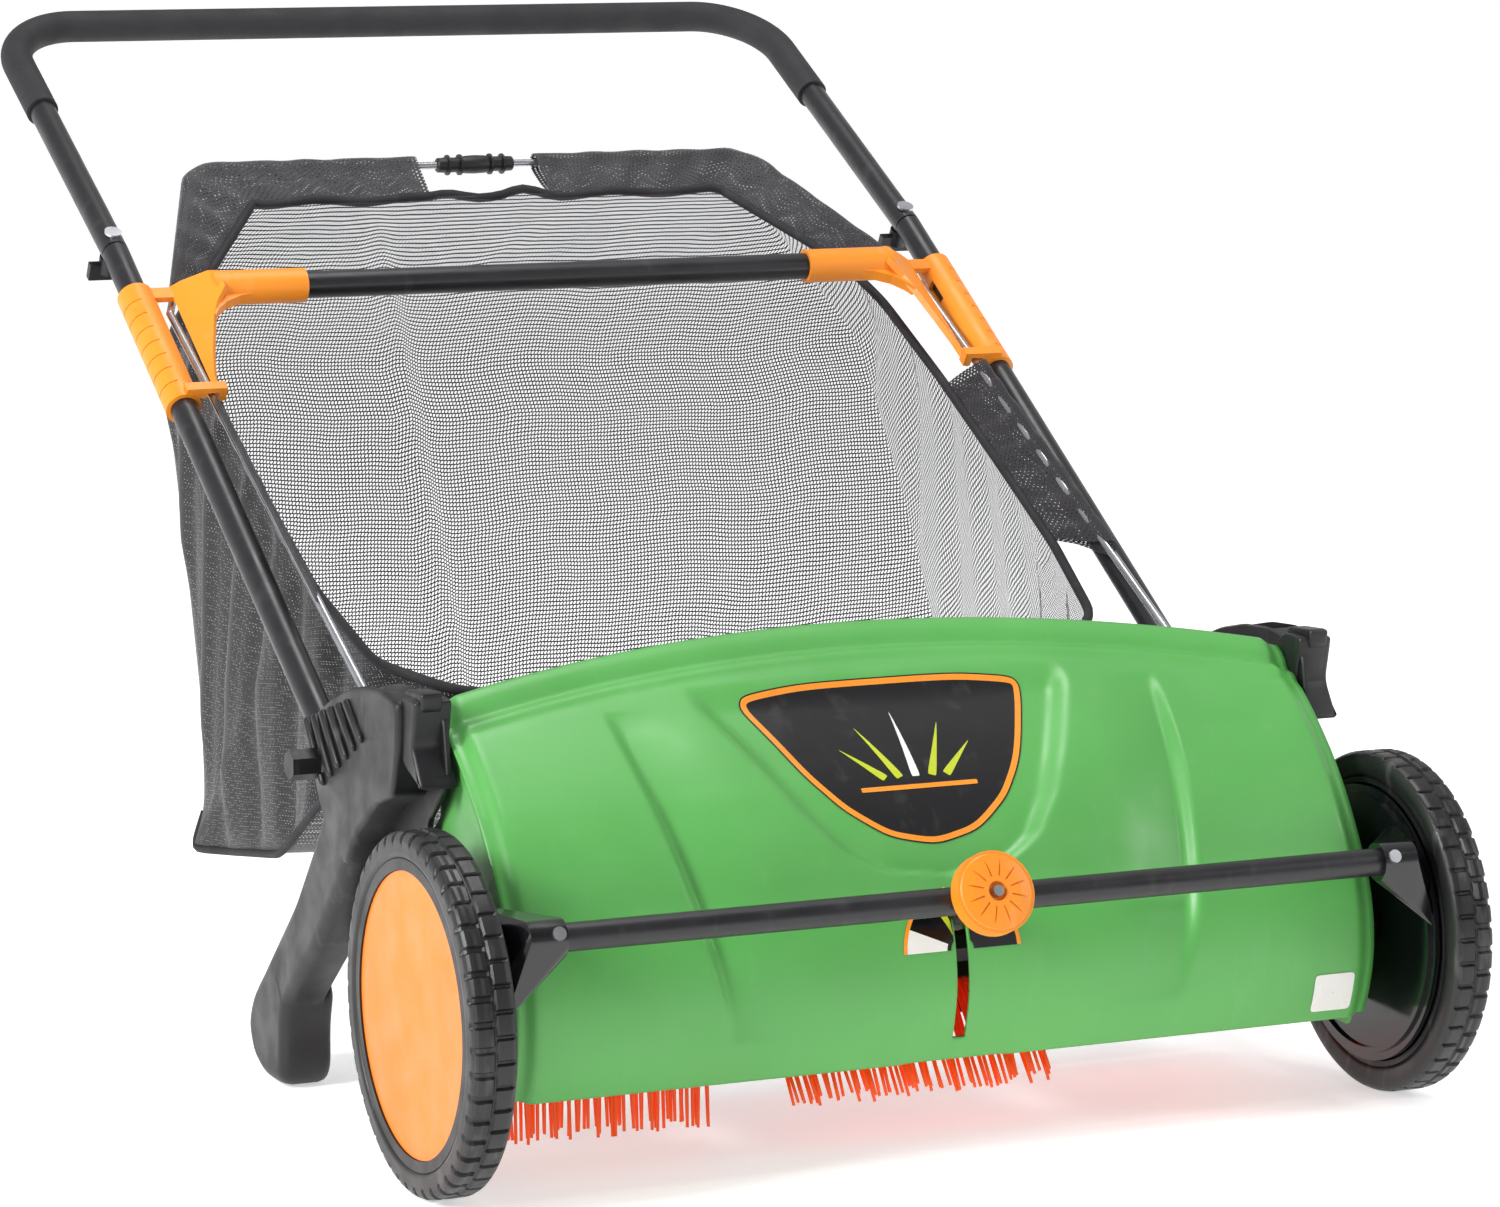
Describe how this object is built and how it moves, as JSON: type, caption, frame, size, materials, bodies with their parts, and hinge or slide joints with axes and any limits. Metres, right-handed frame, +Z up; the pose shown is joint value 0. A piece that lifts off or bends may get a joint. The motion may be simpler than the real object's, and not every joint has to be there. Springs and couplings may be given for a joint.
{
  "type": "lawn sweeper",
  "caption": "Push lawn sweeper: geared wheels spin a brush under a curved hood and throw leaves into a wire-framed mesh bag behind, under a folding U handle with a foam grip.",
  "frame": {"origin": "centre of the footprint box on the ground", "axes": "+X across the machine along the wheel axle (the symmetry axis), -Y the front with the hood and brush, +Y the rear where the handle leans, +Z up; rest stance is rolling position on flat ground"},
  "size_m": [0.7926, 1.2195, 0.7873],
  "materials": {
    "hood_plastic": "satin moulded green plastic",
    "panel_plastic": "fine-grained black plastic",
    "gloss_black": "glossy black plastic",
    "orange_plastic": "satin orange plastic",
    "zinc_steel": "zinc-plated",
    "wire_steel": "bright drawn wire",
    "bush_nylon": "natural nylon",
    "gear_plastic": "moulded nylon",
    "badge_film": "printed film",
    "label_film": "printed film",
    "tube_paint": "semi-gloss powder coat",
    "tyre_rubber": "moulded tread",
    "bristle_plastic": "extruded filament",
    "grip_foam": "closed-cell foam",
    "bag_fabric": "open woven mesh"
  },
  "bodies": {
    "chassis": {"hood": "hood_plastic", "left_side_panel": "panel_plastic", "right_side_panel": "panel_plastic", "rear_apron": "panel_plastic", "tie_rod": "zinc_steel", "left_brush_bush": "bush_nylon", "right_brush_bush": "bush_nylon", "panel_screws": "zinc_steel", "hood_badge": "badge_film", "height_label": "label_film"},
    "height_frame": {"height_bar": "tube_paint", "left_carrier": "gloss_black", "right_carrier": "gloss_black", "left_stub_axle": "zinc_steel", "right_stub_axle": "zinc_steel", "axle_clips": "zinc_steel", "bar_screws": "zinc_steel", "knob_stud": "zinc_steel", "knob_spacer": "panel_plastic"},
    "height_knob": {"height_knob": "orange_plastic"},
    "left_wheel": {"left_tyre": "tyre_rubber", "left_rim": "panel_plastic", "left_hub_cap": "orange_plastic"},
    "right_wheel": {"right_tyre": "tyre_rubber", "right_rim": "panel_plastic", "right_hub_cap": "orange_plastic"},
    "left_pinion": {"left_pinion": "gear_plastic"},
    "right_pinion": {"right_pinion": "gear_plastic"},
    "brush": {"brush_shaft": "zinc_steel", "pawl_pins": "zinc_steel", "brush_core_left": "panel_plastic", "brush_core_centre": "panel_plastic", "brush_core_right": "panel_plastic", "bristles_left": "bristle_plastic", "bristles_centre": "bristle_plastic", "bristles_right": "bristle_plastic"},
    "handle": {"left_lower_tube": "tube_paint", "right_lower_tube": "tube_paint", "upper_tube": "tube_paint", "foam_grip": "grip_foam", "left_bracket": "orange_plastic", "right_bracket": "orange_plastic", "cross_tube": "tube_paint", "joint_bolts": "zinc_steel", "pivot_bolts": "zinc_steel", "pivot_washers": "zinc_steel"},
    "left_wing_knob": {"left_wing_knob": "panel_plastic"},
    "right_wing_knob": {"right_wing_knob": "panel_plastic"},
    "left_hex_knob": {"left_hex_knob": "panel_plastic"},
    "right_hex_knob": {"right_hex_knob": "panel_plastic"},
    "bag": {"bag_wire_left": "wire_steel", "bag_wire_right": "wire_steel", "wire_joiner": "panel_plastic", "bag_mesh": "bag_fabric"}
  },
  "joints": [
    {"name": "height_adjust", "type": "hinge", "parent": "chassis", "child": "height_frame", "pos_m": [0, -0.4128, 0.125], "axis": [1, 0, 0], "range_deg": [0, 35]},
    {"name": "knob_turn", "type": "hinge", "parent": "height_frame", "child": "height_knob", "pos_m": [0, -0.58728, 0.19763], "axis": [0, -0.9232, 0.3843], "range_deg": [0, 720]},
    {"name": "left_wheel_spin", "type": "hinge", "parent": "height_frame", "child": "left_wheel", "pos_m": [0, -0.48277, 0.127], "axis": [1, 0, 0], "continuous": true},
    {"name": "right_wheel_spin", "type": "hinge", "parent": "height_frame", "child": "right_wheel", "pos_m": [0, -0.48277, 0.127], "axis": [1, 0, 0], "continuous": true},
    {"name": "left_pinion_spin", "type": "hinge", "parent": "height_frame", "child": "left_pinion", "pos_m": [0, -0.4128, 0.125], "axis": [1, 0, 0], "continuous": true},
    {"name": "right_pinion_spin", "type": "hinge", "parent": "height_frame", "child": "right_pinion", "pos_m": [0, -0.4128, 0.125], "axis": [1, 0, 0], "continuous": true},
    {"name": "brush_spin", "type": "hinge", "parent": "chassis", "child": "brush", "pos_m": [0, -0.4128, 0.125], "axis": [1, 0, 0], "continuous": true},
    {"name": "handle_fold", "type": "hinge", "parent": "chassis", "child": "handle", "pos_m": [0, -0.23777, 0.2633], "axis": [1, 0, 0], "range_deg": [0, 95]},
    {"name": "left_wing_turn", "type": "hinge", "parent": "handle", "child": "left_wing_knob", "pos_m": [-0.3552, 0.29881, 0.58886], "axis": [0, -0.4787, 0.878], "range_deg": [0, 720]},
    {"name": "left_hex_turn", "type": "hinge", "parent": "handle", "child": "left_hex_knob", "pos_m": [-0.384, -0.23777, 0.2633], "axis": [1, 0, 0], "range_deg": [0, 720]},
    {"name": "right_wing_turn", "type": "hinge", "parent": "handle", "child": "right_wing_knob", "pos_m": [0.3552, 0.29881, 0.58886], "axis": [0, -0.4787, 0.878], "range_deg": [0, 720]},
    {"name": "right_hex_turn", "type": "hinge", "parent": "handle", "child": "right_hex_knob", "pos_m": [0.384, -0.23777, 0.2633], "axis": [1, 0, 0], "range_deg": [0, 720]},
    {"name": "bag_lift_off", "type": "slide", "parent": "handle", "child": "bag", "axis": [0, 0.8758, 0.4827], "range_m": [0, 0.19]}
  ],
  "couplings": [
    {"joint": "left_pinion_spin", "follows": "left_wheel_spin", "ratio": 4.3333},
    {"joint": "right_pinion_spin", "follows": "right_wheel_spin", "ratio": 4.3333},
    {"joint": "brush_spin", "follows": "left_wheel_spin", "ratio": 4.3333}
  ]
}
